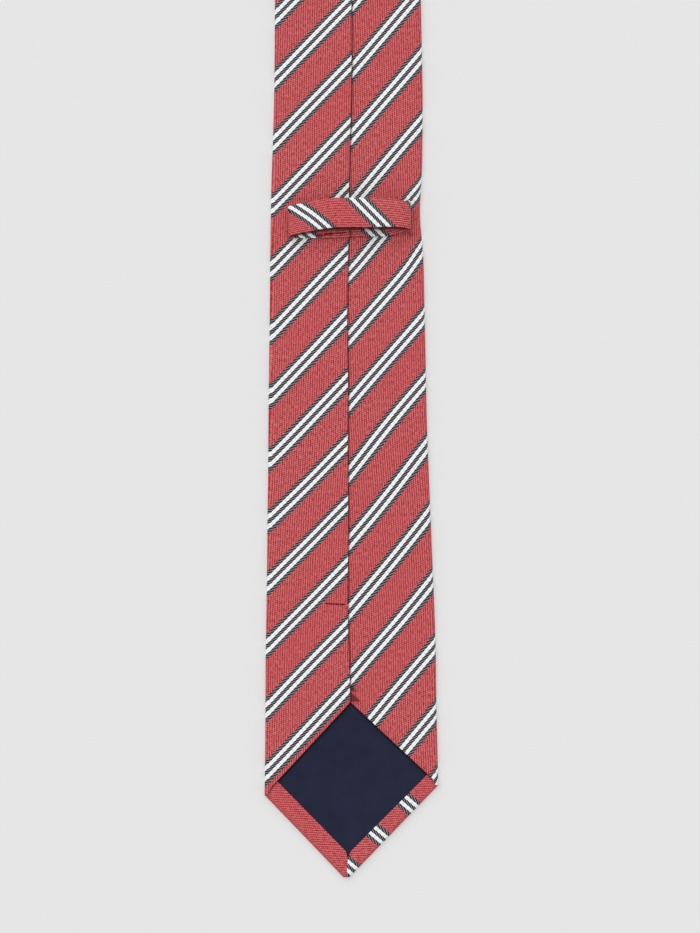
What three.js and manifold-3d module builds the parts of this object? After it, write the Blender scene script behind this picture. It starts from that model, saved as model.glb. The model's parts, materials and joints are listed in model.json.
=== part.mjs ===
// A striped silk necktie, laid out straight and flat with its front face down and its back up.
//
// Millimetres, +Z up. The length runs along Y with the wide tip at -Y, and the origin is at the
// middle of the bounding box's bottom. Places along the tie are "stations", counted from the wide
// tip. From the bottom up the layers are the front cloth, the interlining, the tipping (only near
// the two tips), and the two flaps of the same cloth, folded over and lapped along the middle.
import * as THREE from "three";
import { mergeVertices } from "three/addons/utils/BufferGeometryUtils.js";
import Module from "manifold-3d";

const wasm = await Module();
wasm.setup();

// Overall sizes
const totalLength = 1480;
const wideWidth = 75;
const neckWidth = 35;
const narrowWidth = 41;

// The two points. Each is cut a little off centre, so its corners lie at different stations.
const widePoint = { left: 35.6, right: 40, tipShift: -2.3, blunt: 2.6 };
const narrowPoint = { left: 20.5, right: 22, tipShift: 0.8, blunt: 2 };

// Where the taper towards the neck ends, and where the narrow blade starts to widen again
const neckStart = 720;
const neckEnd = 900;

// The neck bends in three places, evenly spaced about the nape
const napeStation = 800;
const bendSpacing = 65;

// The shell is pieced from three cuts of cloth, joined by seams on the bias
const widePiecing = 680;
const narrowPiecing = 1010;

// Layers
const clothThickness = 0.5;
const interliningThickness = 1;
const tippingThickness = 0.3;
const layerGap = 0.3;
const threadThickness = 0.3;

// The centre seam: the left flap laps over the right one
const seamShift = -0.8;
const lapWidth = 8;
const stitchChannel = 3;

// The tipping shows in a diamond between the flaps and the hems. Its side corners lie a hem's
// width inside the edges, its apex on the centre seam and its bottom over the point.
const wideWindow = {
  apex: 75.6, left: 41.5, right: 43.6, bottom: 9.9,
  leftHem: 5.9, rightHem: 4.3, apexShift: 0.6, bottomShift: 0.9,
};
const narrowWindow = {
  apex: 44, left: 26.5, right: 27.5, bottom: 7.6,
  leftHem: 5.3, rightHem: 4.9, apexShift: 0.3, bottomShift: -0.2,
};
const wideTippingLength = 115;
const narrowTippingLength = 75;
const tippingTuck = 2.2;

// Bar tacks: short bars of thread over the lap, one near each point
const barTack = { length: 9.5, width: 1, height: 0.6, fromSeam: 1 };
const wideTackStation = 118;
const narrowTackFromTip = 88;

// The keeper: a flattened tube of the cloth, made into a loop that hangs from the centre seam
const keeperStation = 282.8;
const keeperLean = 4.5;
const keeperLeft = 26.3;
const keeperRight = 27.2;
const keeperStripWidth = 12.8;
const keeperThickness = 1.2;
const keeperOpening = 5.2;
const keeperEndGap = 0.6;
const keeperTack = { length: 5, width: 4, height: 0.4 };

// Heights that follow from the layers
const interliningBottom = clothThickness + layerGap;
const interliningTop = interliningBottom + interliningThickness;
const tippingBottom = interliningTop + layerGap;
const tippingTop = tippingBottom + tippingThickness;
const flapBottom = tippingTop + layerGap;
const flapTop = flapBottom + clothThickness;
const lapBottom = flapTop + layerGap;
const lapTop = lapBottom + clothThickness;
const keeperBottom = lapTop + layerGap;
const keeperBaseTop = keeperBottom + keeperThickness;
const keeperBandBottom = keeperBaseTop + keeperOpening;
const keeperBandTop = keeperBandBottom + keeperThickness;
const wellAbove = keeperBandTop + 5;

// Half of the length lies either side of the origin
const yAt = (station) => station - totalLength / 2;

// The blades narrow along these shares: how far along the run, and how much of the extra
// width over the neck's is left there
const wideTaper = [[0, 1], [0.12, 0.94], [0.245, 0.82], [0.37, 0.755], [0.5, 0.703],
  [0.66, 0.52], [0.84, 0.2], [1, 0]];
const narrowTaper = [[0, 0], [0.3, 0.12], [0.7, 0.6], [1, 1]];

// The plan outline, anticlockwise from the wide tip, as [x, y] points
function tieOutline() {
  const right = [];
  const left = [];
  const wideEnd = Math.max(widePoint.left, widePoint.right);
  const narrowCorner = totalLength - Math.max(narrowPoint.left, narrowPoint.right);
  for (const [along, extra] of wideTaper.slice(1)) {
    const station = wideEnd + along * (neckStart - wideEnd);
    const half = (neckWidth + extra * (wideWidth - neckWidth)) / 2;
    right.push([half, yAt(station)]);
    left.push([-half, yAt(station)]);
  }
  for (const [along, extra] of narrowTaper.slice(0, -1)) {
    const station = neckEnd + along * (narrowCorner - neckEnd);
    const half = (neckWidth + extra * (narrowWidth - neckWidth)) / 2;
    right.push([half, yAt(station)]);
    left.push([-half, yAt(station)]);
  }
  return [
    [widePoint.tipShift + widePoint.blunt / 2, yAt(0)],
    [wideWidth / 2, yAt(widePoint.right)],
    ...right,
    [narrowWidth / 2, yAt(totalLength - narrowPoint.right)],
    [narrowPoint.tipShift + narrowPoint.blunt / 2, yAt(totalLength)],
    [narrowPoint.tipShift - narrowPoint.blunt / 2, yAt(totalLength)],
    [-narrowWidth / 2, yAt(totalLength - narrowPoint.left)],
    ...left.reverse(),
    [-wideWidth / 2, yAt(widePoint.left)],
    [widePoint.tipShift - widePoint.blunt / 2, yAt(0)],
  ];
}

// The same outline with every edge moved inwards by one distance: each corner moves along the
// sum of its two edges' inward normals, mitred
function inset(points, distance) {
  const inward = points.map((point, i) => {
    const next = points[(i + 1) % points.length];
    const run = Math.hypot(next[0] - point[0], next[1] - point[1]);
    return [-(next[1] - point[1]) / run, (next[0] - point[0]) / run];
  });
  return points.map((point, i) => {
    const before = inward[(i + points.length - 1) % points.length];
    const after = inward[i];
    const reach = distance / (1 + before[0] * after[0] + before[1] * after[1]);
    return [point[0] + (before[0] + after[0]) * reach, point[1] + (before[1] + after[1]) * reach];
  });
}

// A three.js geometry as a manifold solid, and back
function solidOf(geometry) {
  geometry.deleteAttribute("normal");
  geometry.deleteAttribute("uv");
  const merged = mergeVertices(geometry, 1e-5);
  return new wasm.Manifold(new wasm.Mesh({
    numProp: 3,
    vertProperties: Float32Array.from(merged.attributes.position.array),
    triVerts: Uint32Array.from(merged.index.array),
  }));
}

function geometryOf(solid) {
  const mesh = solid.getMesh();
  const geometry = new THREE.BufferGeometry();
  geometry.setAttribute("position", new THREE.BufferAttribute(mesh.vertProperties, 3));
  geometry.setIndex(new THREE.BufferAttribute(mesh.triVerts, 1));
  geometry.computeVertexNormals();
  return geometry;
}

// A flat slab of a plan outline between two heights
function slab(points, bottom, top) {
  const shape = new THREE.Shape(points.map(([x, y]) => new THREE.Vector2(x, y)));
  const geometry = new THREE.ExtrudeGeometry(shape, { depth: top - bottom, bevelEnabled: false });
  geometry.translate(0, 0, bottom);
  return solidOf(geometry);
}

// A box between two corners
function block([x0, y0, z0], [x1, y1, z1]) {
  const geometry = new THREE.BoxGeometry(x1 - x0, y1 - y0, z1 - z0);
  geometry.translate((x0 + x1) / 2, (y0 + y1) / 2, (z0 + z1) / 2);
  return solidOf(geometry);
}

// Everything past a line across the tie: on one side of it ("before" or "after"), held half a
// gap away from it. A bias line leans by 45 degrees.
function past(side, station, bias) {
  const reach = wideWidth;
  const lean = bias ? reach : 0;
  const halfGap = (bias ? Math.SQRT2 : 1) * layerGap / 2;
  const sign = side === "before" ? -1 : 1;
  const line = yAt(station) - sign * halfGap;
  const far = sign * totalLength;
  const corners = [[-reach, line - lean], [reach, line + lean], [reach, far], [-reach, far]];
  return slab(corners, -wellAbove, wellAbove);
}

// The stretch of a solid between two lines; a side left out runs to that end of the tie
function stretch(solid, { from, to, biasFrom = false, biasTo = false }) {
  const trimmed = from === undefined ? solid : solid.subtract(past("before", from, biasFrom));
  return to === undefined ? trimmed : trimmed.subtract(past("after", to, biasTo));
}

const fromWideTip = (station) => yAt(station);
const fromNarrowTip = (station) => yAt(totalLength - station);

// The places across the tie of a window's four corners
function windowSides(view, width, point) {
  return {
    apex: seamShift + view.apexShift,
    left: view.leftHem - width / 2,
    right: width / 2 - view.rightHem,
    bottom: point.tipShift + view.bottomShift,
  };
}

const wideSides = windowSides(wideWindow, wideWidth, widePoint);
const narrowSides = windowSides(narrowWindow, narrowWidth, narrowPoint);

const windowCorners = (view, sides, place) => ["bottom", "right", "apex", "left"]
  .map((corner) => [sides[corner], place(view[corner])]);

// The corners run the other way round when the stations are counted back from the narrow tip
const windowAtWide = windowCorners(wideWindow, wideSides, fromWideTip);
const windowAtNarrow = windowCorners(narrowWindow, narrowSides, fromNarrowTip).reverse();

// The whole shell: the front cloth, its two folded edges, the hems and the flaps. Inside it is
// hollow for the interlining; the flaps part along the lap, and each point has its window.
function wholeShell() {
  const outline = tieOutline();
  const lapLeft = seamShift - lapWidth - stitchChannel - clothThickness;
  const lapRight = seamShift;
  const lapNear = fromWideTip((wideWindow.apex + wideWindow.bottom) / 2);
  const lapFar = fromNarrowTip((narrowWindow.apex + narrowWindow.bottom) / 2);
  const slitLeft = lapLeft + clothThickness;
  const channelRight = slitLeft + stitchChannel;
  const beyond = totalLength;
  return slab(outline, 0, flapTop)
    .add(block([lapLeft, lapNear, flapBottom], [lapRight, lapFar, lapTop]))
    .subtract(slab(inset(outline, clothThickness), clothThickness, flapBottom))
    .subtract(block([slitLeft, lapNear, clothThickness], [channelRight, lapFar, lapBottom]))
    .subtract(block([slitLeft, -beyond, flapTop], [lapRight + layerGap, beyond, lapBottom]))
    .subtract(slab(windowAtWide, tippingTop + layerGap / 2, wellAbove))
    .subtract(slab(windowAtNarrow, tippingTop + layerGap / 2, wellAbove));
}

// The interlining fills the shell from tip to tip
function wholeInterlining() {
  return slab(inset(tieOutline(), clothThickness + layerGap), interliningBottom, interliningTop);
}

// The tipping: a pointed lining that shows in the window, tucked under the hems, and runs on up
// under the flaps
function tipping(view, sides, place, length) {
  const points = [
    [sides.bottom, view.bottom - tippingTuck],
    [sides.right + tippingTuck, view.right],
    [sides.right - tippingTuck, length],
    [sides.left + tippingTuck, length],
    [sides.left - tippingTuck, view.left],
  ].map(([x, station]) => [x, place(station)]);
  return slab(points, tippingBottom, tippingTop);
}

// The slip stitch: one loose thread inside the lap, which lets the tie give along its length
function slipStitch(from, to) {
  const middle = seamShift - lapWidth - stitchChannel / 2;
  const half = threadThickness / 2;
  const height = (flapBottom + lapBottom) / 2;
  return block([middle - half, yAt(from) + layerGap / 2, height - half],
    [middle + half, yAt(to) - layerGap / 2, height + half]);
}

// A bar tack across the lap's edge, on the left flap
function barTackAt(station) {
  const right = seamShift - barTack.fromSeam;
  return block([right - barTack.length, yAt(station) - barTack.width / 2, lapTop],
    [right, yAt(station) + barTack.width / 2, lapTop + barTack.height]);
}

// The keeper's two lower halves lie on the blade and end at the centre seam
function keeperBase(from, to) {
  const middle = yAt(keeperStation);
  return block([from, middle - keeperStripWidth / 2, keeperBottom],
    [to, middle + keeperStripWidth / 2, keeperBaseTop]);
}

// The keeper's band: a bridge with two rounded shoulders, leaning towards the neck as it rises
function keeperBand() {
  const left = -keeperLeft;
  const right = keeperRight;
  const foot = keeperBaseTop + layerGap;
  const outer = keeperOpening / 2 + keeperThickness;
  const inner = outer - keeperThickness;
  const shape = new THREE.Shape();
  shape.moveTo(left, foot);
  shape.lineTo(left, keeperBandTop - outer);
  shape.absarc(left + outer, keeperBandTop - outer, outer, Math.PI, Math.PI / 2, true);
  shape.lineTo(right - outer, keeperBandTop);
  shape.absarc(right - outer, keeperBandTop - outer, outer, Math.PI / 2, 0, true);
  shape.lineTo(right, foot);
  shape.lineTo(right - keeperThickness, foot);
  shape.absarc(right - outer, keeperBandTop - outer, inner, 0, Math.PI / 2, false);
  shape.absarc(left + outer, keeperBandTop - outer, inner, Math.PI / 2, Math.PI, false);
  shape.lineTo(left + keeperThickness, foot);
  const geometry = new THREE.ExtrudeGeometry(shape, {
    depth: keeperStripWidth, bevelEnabled: false, curveSegments: 8,
  });
  geometry.rotateX(Math.PI / 2);
  geometry.translate(0, yAt(keeperStation) + keeperStripWidth / 2, 0);
  const rise = keeperBandTop - keeperBottom;
  const lean = keeperLean / rise;
  const shear = new THREE.Matrix4().set(
    1, 0, 0, 0,
    0, 1, lean, -lean * keeperBottom,
    0, 0, 1, 0,
    0, 0, 0, 1,
  );
  geometry.applyMatrix4(shear);
  return solidOf(geometry);
}

// The stitches that hold the keeper's two ends to the centre seam
function keeperTackThread() {
  const middle = yAt(keeperStation);
  return block([seamShift - keeperTack.length / 2, middle - keeperTack.width / 2, keeperBaseTop],
    [seamShift + keeperTack.length / 2, middle + keeperTack.width / 2,
      keeperBaseTop + keeperTack.height]);
}

// Materials
const silk = { color: 0xc8464f, roughness: 0.55, metalness: 0 };
const wool = { color: 0xe6e0d2, roughness: 0.95, metalness: 0 };
const lining = { color: 0x24283e, roughness: 0.5, metalness: 0 };
const thread = { color: 0x9c2f3c, roughness: 0.6, metalness: 0 };

const necktie = new THREE.Group();

function addPart(name, solid, finish) {
  const mesh = new THREE.Mesh(geometryOf(solid), new THREE.MeshStandardMaterial(finish));
  mesh.name = name;
  necktie.add(mesh);
}

// Where the neck bends
const firstBend = napeStation - bendSpacing;
const lastBend = napeStation + bendSpacing;

const shell = wholeShell();
const shellParts = {
  wide_shell: { to: widePiecing, biasTo: true },
  neck_shell_wide_end: { from: widePiecing, to: firstBend, biasFrom: true },
  neck_shell_wide_side: { from: firstBend, to: napeStation },
  neck_shell_narrow_side: { from: napeStation, to: lastBend },
  neck_shell_narrow_end: { from: lastBend, to: narrowPiecing, biasTo: true },
  narrow_shell: { from: narrowPiecing, biasFrom: true },
};
for (const [name, span] of Object.entries(shellParts)) {
  addPart(name, stretch(shell, span), silk);
}

const interlining = wholeInterlining();
const interliningParts = {
  wide_interlining: { to: firstBend },
  neck_interlining_wide_side: { from: firstBend, to: napeStation },
  neck_interlining_narrow_side: { from: napeStation, to: lastBend },
  narrow_interlining: { from: lastBend },
};
for (const [name, span] of Object.entries(interliningParts)) {
  addPart(name, stretch(interlining, span), wool);
}

const wideTipping = tipping(wideWindow, wideSides, fromWideTip, wideTippingLength);
const narrowTipping = tipping(narrowWindow, narrowSides, fromNarrowTip, narrowTippingLength);
addPart("wide_tipping", wideTipping, lining);
addPart("narrow_tipping", narrowTipping, lining);

addPart("wide_slip_stitch", slipStitch(wideTackStation, firstBend), thread);
addPart("neck_slip_stitch_wide_side", slipStitch(firstBend, napeStation), thread);
addPart("neck_slip_stitch_narrow_side", slipStitch(napeStation, lastBend), thread);
addPart("narrow_slip_stitch", slipStitch(lastBend, totalLength - narrowTackFromTip), thread);

addPart("wide_bar_tack", barTackAt(wideTackStation), thread);
addPart("narrow_bar_tack", barTackAt(totalLength - narrowTackFromTip), thread);

addPart("keeper_base_left", keeperBase(-keeperLeft, seamShift - keeperEndGap / 2), silk);
addPart("keeper_base_right", keeperBase(seamShift + keeperEndGap / 2, keeperRight), silk);
addPart("keeper_band", keeperBand(), silk);
addPart("keeper_tack", keeperTackThread(), thread);

export default necktie;
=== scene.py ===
import json
import math

import bmesh
import bpy
import numpy as np
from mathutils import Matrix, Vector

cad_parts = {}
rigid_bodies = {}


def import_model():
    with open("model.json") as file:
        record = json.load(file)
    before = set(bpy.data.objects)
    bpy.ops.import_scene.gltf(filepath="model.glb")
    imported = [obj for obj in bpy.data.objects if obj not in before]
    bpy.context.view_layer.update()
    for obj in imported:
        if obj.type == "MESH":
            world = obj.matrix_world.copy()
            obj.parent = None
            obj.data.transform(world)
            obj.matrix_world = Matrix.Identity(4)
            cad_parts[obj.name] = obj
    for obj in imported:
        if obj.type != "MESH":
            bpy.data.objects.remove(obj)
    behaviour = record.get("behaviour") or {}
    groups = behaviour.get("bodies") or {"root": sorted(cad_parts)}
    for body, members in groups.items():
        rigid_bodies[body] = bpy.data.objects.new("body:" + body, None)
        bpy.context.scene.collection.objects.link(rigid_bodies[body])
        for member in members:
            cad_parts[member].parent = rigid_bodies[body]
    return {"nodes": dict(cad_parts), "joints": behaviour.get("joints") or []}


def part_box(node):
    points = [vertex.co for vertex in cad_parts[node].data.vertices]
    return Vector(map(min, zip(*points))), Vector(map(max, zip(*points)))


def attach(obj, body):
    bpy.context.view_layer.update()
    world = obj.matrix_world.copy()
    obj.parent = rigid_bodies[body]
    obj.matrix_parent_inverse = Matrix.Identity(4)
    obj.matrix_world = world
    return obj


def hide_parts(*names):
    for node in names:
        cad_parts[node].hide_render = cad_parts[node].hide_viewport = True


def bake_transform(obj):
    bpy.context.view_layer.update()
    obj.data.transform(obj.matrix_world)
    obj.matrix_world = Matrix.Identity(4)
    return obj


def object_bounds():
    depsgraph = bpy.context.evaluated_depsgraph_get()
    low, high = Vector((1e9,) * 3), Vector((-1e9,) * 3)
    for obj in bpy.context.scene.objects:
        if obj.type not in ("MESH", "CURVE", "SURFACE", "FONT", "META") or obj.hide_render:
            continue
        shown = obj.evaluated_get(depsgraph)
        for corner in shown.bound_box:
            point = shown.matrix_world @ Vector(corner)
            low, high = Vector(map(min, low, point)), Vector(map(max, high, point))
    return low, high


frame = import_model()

cad_low, cad_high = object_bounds()
mm = 0.001

# ---------------------------------------------------------------------------------------------
# The view: the tie lies on a plain pale table, seen straight down from above through a long
# lens, with the wide point at the bottom and the neck running out at the top. One broad soft
# light shines from beyond the neck, and a pale room fills the rest.
wide_tip = cad_low.y
seen_length = 403 * mm
view_centre = wide_tip + 177.3 * mm
view_turn = math.radians(-0.243)
lens_length = 200
sensor_height = 36
camera_height = seen_length * lens_length / sensor_height
sun_turn = (math.radians(-38), math.radians(-14), 0)
room_glow = 0.66

camera_data = bpy.data.cameras.new("camera")
camera_data.lens = lens_length
camera_data.sensor_width = sensor_height
camera_data.clip_end = 30
camera = bpy.data.objects.new("camera", camera_data)
camera.location = (0, view_centre, camera_height)
camera.rotation_euler = (0, 0, view_turn)
bpy.context.scene.collection.objects.link(camera)
bpy.context.scene.camera = camera

studio_light = bpy.data.lights.new("studio_light", "SUN")
studio_light.energy = 1.34
studio_light.angle = math.radians(60)
studio = bpy.data.objects.new("studio_light", studio_light)
studio.rotation_euler = sun_turn
bpy.context.scene.collection.objects.link(studio)

world = bpy.data.worlds.new("pale_room")
world.use_nodes = True
room = world.node_tree.nodes["Background"]
room.inputs["Color"].default_value = (1, 1, 1, 1)
room.inputs["Strength"].default_value = room_glow
bpy.context.scene.world = world
bpy.context.scene.view_settings.view_transform = "Standard"


# The table top. It carries the first material, so the small tools for materials start here.
class Value:
    """A socket of a material's node tree. Sums and products of it add its Math nodes."""

    def __init__(self, tree, socket):
        self.tree = tree
        self.socket = socket

    def maths(self, operation, *terms):
        """The result of a Math node's operation on some terms."""
        return add_node(self.tree, "Math", {"operation": operation}, dict(enumerate(terms)))

    def __add__(self, other):
        return self.maths("ADD", self, other)

    def __radd__(self, other):
        return self.maths("ADD", other, self)

    def __sub__(self, other):
        return self.maths("SUBTRACT", self, other)

    def __rsub__(self, other):
        return self.maths("SUBTRACT", other, self)

    def __mul__(self, other):
        return self.maths("MULTIPLY", self, other)

    def __rmul__(self, other):
        return self.maths("MULTIPLY", other, self)

    def wave(self, pitch):
        """A sine wave of a pitch, from 0 to 1."""
        return self.maths("SINE", self * (2 * math.pi / pitch)) * 0.5 + 0.5

    def size(self):
        """The value without its sign."""
        return self.maths("ABSOLUTE", self)

    def nearest(self, pitch):
        """Distance to the nearest whole multiple of the pitch."""
        return self.maths("PINGPONG", self, pitch / 2)

    def step(self, low, high):
        """0 below low, 1 above high, and a smooth rise between them."""
        places = {"Value": self, "From Min": low, "From Max": high}
        return add_node(self.tree, "MapRange", {"interpolation_type": "SMOOTHSTEP"}, places)


def feed(tree, place, term):
    """Links a Value to a node's input, or sets the input to a plain number or colour."""
    if isinstance(term, Value):
        tree.links.new(term.socket, place)
    else:
        place.default_value = term


def add_node(tree, kind, settings, inputs, output=0):
    """Adds a node of a type to a tree: its settings first, then its sockets' values or links."""
    node = tree.nodes.new("ShaderNode" + kind)
    for name, value in settings.items():
        setattr(node, name, value)
    for place, term in inputs.items():
        feed(tree, node.inputs[place], term)
    return Value(tree, node.outputs[output])


class Finish:
    """A new material with one Principled shader, and the means to add nodes to it."""

    def __init__(self, name, **constants):
        self.material = bpy.data.materials.new(name)
        self.material.use_nodes = True
        self.tree = self.material.node_tree
        self.shader = self.tree.nodes["Principled BSDF"]
        for socket, value in constants.items():
            self.shader.inputs[socket.replace("_", " ")].default_value = value

    def node(self, kind, output=0, settings=None, **inputs):
        """Adds a node to this finish. A socket's name has underscores for its spaces."""
        inputs = {name.replace("_", " "): term for name, term in inputs.items()}
        return add_node(self.tree, kind, settings or {}, inputs, output)

    def mix(self, share, first, second, blend="MIX"):
        """A colour between two colours, or the first one multiplied by the second."""
        settings = {"data_type": "RGBA", "blend_type": blend}
        return add_node(self.tree, "Mix", settings, {0: share, 6: first, 7: second}, 2)

    def parts(self, vector):
        """A vector's first two parts, as two values."""
        first = add_node(self.tree, "SeparateXYZ", {}, {0: vector})
        return first, Value(self.tree, first.socket.node.outputs[1])

    def bump(self, height, distance, strength=1.0):
        """The normal of a surface with this height on it, which stands up by the distance."""
        return self.node("Bump", Height=height, Distance=distance, Strength=strength)

    def show(self, **links):
        """Links values to the shader's sockets."""
        for socket, term in links.items():
            feed(self.tree, self.shader.inputs[socket.replace("_", " ")], term)


def tone(red, green, blue):
    """A colour given as screen values from 0 to 255, as the linear colour that shaders take."""
    share = np.array([red, green, blue]) / 255
    linear = np.where(share <= 0.04045, share / 12.92, ((share + 0.055) / 1.055) ** 2.4)
    return (*linear.tolist(), 1)


# The table glows a little, like a lit studio sweep, which keeps the shadows on it faint
table = Finish(
    "pale_table", Roughness=0.9, Emission_Color=tone(166, 166, 166), Emission_Strength=1.0
)
grain = table.node("TexNoise", Scale=3.0, Detail=2.0)
table.show(Base_Color=table.mix(grain, tone(170, 170, 170), tone(172, 172, 172)))

table_half = 4
table_drop = 0.05 * mm
table_mesh = bpy.data.meshes.new("table_top")
table_corners = [(-1, -1), (1, -1), (1, 1), (-1, 1)]
table_mesh.from_pydata(
    [(x * table_half, y * table_half, -table_drop) for x, y in table_corners], [], [(0, 1, 2, 3)]
)
table_mesh.materials.append(table.material)
table_top = bpy.data.objects.new("table_top", table_mesh)
bpy.context.scene.collection.objects.link(table_top)

# ---------------------------------------------------------------------------------------------
# The silk: a ribbed twill in red, with woven groups of five stripes, navy, white, navy, white,
# navy. It is cut on the bias, so on the flat cut the ribs run along the tie and the stripes
# cross it. Each piece carries the flat cut's own coordinates in its UV map "cloth".
stripe_slope = math.radians(47.5)
stripe_pitch = 18.7 * mm
stripe_start = 2.61 * mm
navy_core = 0.82 * mm
white_edge = 2.21 * mm
group_edge = 3.8 * mm
white_line = 1.51 * mm
rib_pitch = 0.97 * mm
dash_pitch = 0.88 * mm
twill_pitch = 0.86 * mm
dash_lean = math.radians(22)
yarn_edge = 0.06 * mm
weave_step = 0.16 * mm

silk = Finish(
    "striped_silk", Specular_IOR_Level=0.3, Sheen_Weight=0.04, Sheen_Roughness=0.4
)
flat_cut = silk.node("UVMap", settings={"uv_map": "cloth"})
across, along = silk.parts(flat_cut)

# Slow wander of the yarns, the fine slubs in them, and the broken floats that lie along the ribs
wander = silk.node("TexNoise", Vector=flat_cut, Scale=90.0, Detail=1.0) - 0.5
slub = silk.node("TexNoise", Vector=flat_cut, Scale=1400.0, Detail=2.0)
cloud = silk.node("TexNoise", Vector=flat_cut, Scale=24.0, Detail=2.0)
long_cut = silk.node("Mapping", Vector=flat_cut, Scale=(1500, 620, 1))
floats = silk.node("TexNoise", Vector=long_cut, Scale=1.0, Detail=1.5)

# How far a place is from the middle of the nearest stripe group, with the weave's small steps
stripe_place = across * math.sin(stripe_slope) + along * math.cos(stripe_slope) - stripe_start
dash_place = along * math.cos(dash_lean) + across * math.sin(dash_lean)
dash_wave = dash_place.wave(dash_pitch)
from_group = stripe_place.nearest(stripe_pitch) + (dash_wave - 0.5) * weave_step
in_group, in_core, in_light = [
    1 - from_group.step(place - yarn_edge, place + yarn_edge)
    for place in (group_edge, navy_core, white_edge)
]
in_white = in_light - in_core
line_place = (from_group - white_line).size()
in_line = 1 - line_place.step(0.06 * mm, 0.16 * mm)

# Ribs in the red, floats in the navy
rib_wave = (across + wander * (0.3 * mm)).wave(rib_pitch)
twill_wave = (along + across * 0.35).wave(twill_pitch)
rib_share = (rib_wave * 0.27 + floats * 0.57 + twill_wave * 0.16).step(0.33, 0.68)
red = silk.mix(rib_share, tone(146, 10, 27), tone(219, 112, 113))
red = silk.mix(cloud.step(0.35, 0.7) * 0.25, red, tone(192, 62, 70))
dash_share = (dash_wave * 0.9 + slub * 0.1).step(0.7, 0.84)
navy = silk.mix(dash_share, tone(0, 0, 3), tone(150, 152, 161))
white = silk.mix(in_line * 0.7, tone(255, 255, 255), tone(170, 172, 182))
white = silk.mix(slub.step(0.35, 0.7) * 0.1, white, tone(216, 216, 220))
stripes = silk.mix(in_white, navy, white)
woven = silk.mix(in_group, red, stripes)

# The attribute cover is the distance from the edge of the layer that lies over a place. Near
# that edge and under it the cloth gets painted shade: its colour is darkened as if in a crevice.
painted_shade_reach = 1.0 * mm
painted_crevice_shade = 1 - silk.node("Attribute", 2, {"attribute_name": "cover"}).step(0, painted_shade_reach)
silk_height = rib_wave * (1 - in_group) + in_white * 1.15 + dash_wave * (in_group - in_white)
silk.show(
    # Painted shade: the woven colour is multiplied towards dark red where the cover is small
    Base_Color=silk.mix(painted_crevice_shade * 0.9, woven, tone(128, 50, 62), "MULTIPLY"),
    Roughness=0.62 - rib_share * 0.12 - in_white * 0.06,
    Normal=silk.bump(silk_height + slub * 0.35, 0.05 * mm, 0.8),
)

# ---------------------------------------------------------------------------------------------
# The shell: three cuts of silk, for the wide blade, the neck and the narrow blade. Their sides
# are folded to the middle, where the left flap laps over the right one. First comes the outline
# that they are folded to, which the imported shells' lowest corners give.
narrow_tip = cad_high.y
middle = (wide_tip + narrow_tip) / 2


def corners_of(*nodes):
    """The x and y of the vertices that lie in each node's lowest plane."""
    found = []
    for node in nodes:
        mesh = frame["nodes"][node].data
        places = np.empty(len(mesh.vertices) * 3, np.float32)
        mesh.vertices.foreach_get("co", places)
        places = places.reshape(-1, 3).astype(float)
        found.append(places[places[:, 2] < places[:, 2].min() + 1e-5, :2])
    return np.unique(np.concatenate(found).round(6), axis=0)


outline = corners_of(*[name for name in frame["nodes"] if "shell" in name])


def point_of(tip, ahead):
    """One pointed end: the ends of its blunt tip and its two side corners, left and right."""
    near = outline[(outline[:, 1] - middle) * ahead < 0]
    blunt = near[np.abs(near[:, 1] - tip) < 1e-5]
    return {
        "ahead": ahead,
        "blunt": {-1: blunt[blunt[:, 0].argmin()], 1: blunt[blunt[:, 0].argmax()]},
        "corner": {-1: near[near[:, 0].argmin()], 1: near[near[:, 0].argmax()]},
        "diagonal_rise": {-1: 0.2 * mm, 1: 0.6 * mm},
    }


wide_point = point_of(wide_tip, 1)
narrow_point = point_of(narrow_tip, -1)
# The wide end's right corner was folded a touch nearer to the tip
wide_point["corner"][1] = wide_point["corner"][1] - (0, 0.5 * mm)

edge_ease = 14 * mm
# Where along the blade each folded edge starts to stray from its line, how far, and for how long
stray_start = {-1: 120 * mm, 1: 85 * mm}
stray_most = {-1: -1.05 * mm, 1: -0.8 * mm}
stray_growth = 90 * mm
stray_end = 290 * mm
stray_return = 50 * mm
keeper_pull = 1.3 * mm
pull_reach = 13.5 * mm
keeper_low, keeper_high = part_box("keeper_base_left")[0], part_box("keeper_base_right")[1]
keeper_y = (keeper_low.y + keeper_high.y) / 2


def smooth(share):
    """0 below 0, 1 above 1, and a smooth rise between them."""
    share = np.clip(share, 0, 1)
    return share * share * (3 - 2 * share)


def hill(distance, reach):
    """1 at no distance, falling away to 0 on both sides over about twice the reach."""
    return np.exp(-((distance / reach) ** 2))


def fold_line(side, y):
    """The place across of a side's fold in the cut. The outline's straight stretches are
    averaged over a short way, which eases their corners."""
    first = wide_point["corner"][side][1]
    last = narrow_point["corner"][side][1]
    line = outline[(outline[:, 0] * side > 0) & (outline[:, 1] >= first) & (outline[:, 1] <= last)]
    line = line[line[:, 1].argsort()]
    y = np.asarray(y, float)
    reach = np.clip(np.minimum(y - first, last - y), 0, edge_ease)
    shares = (-1, -0.5, 0, 0.5, 1)
    eased = sum(np.interp(y + reach * share, line[:, 1], line[:, 0]) for share in shares)
    wander = 0.1 * mm * np.sin(y * 74 + side) * np.sin(y * 31) * reach / edge_ease
    return eased / len(shares) + wander


def edge(side, y):
    """The place across of the folded edge as it lies. It strays from the cut's fold line by up
    to a millimetre along the wide blade, and the keeper pulls the right edge in a little."""
    station = y - wide_tip
    stray = stray_most[side] * smooth((station - stray_start[side]) / stray_growth)
    stray = stray * (1 - smooth((station - stray_end) / stray_return))
    pull = keeper_pull * hill(y - keeper_y - 3 * mm, pull_reach)
    return fold_line(side, y) + stray - pull * (side > 0)


def edge_slope(side, y):
    """How fast the folded edge moves across as y grows."""
    low = np.maximum(y - 20 * mm, wide_point["corner"][side][1])
    high = np.minimum(y + 20 * mm, narrow_point["corner"][side][1])
    return (fold_line(side, high) - fold_line(side, low)) / (high - low)


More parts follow.
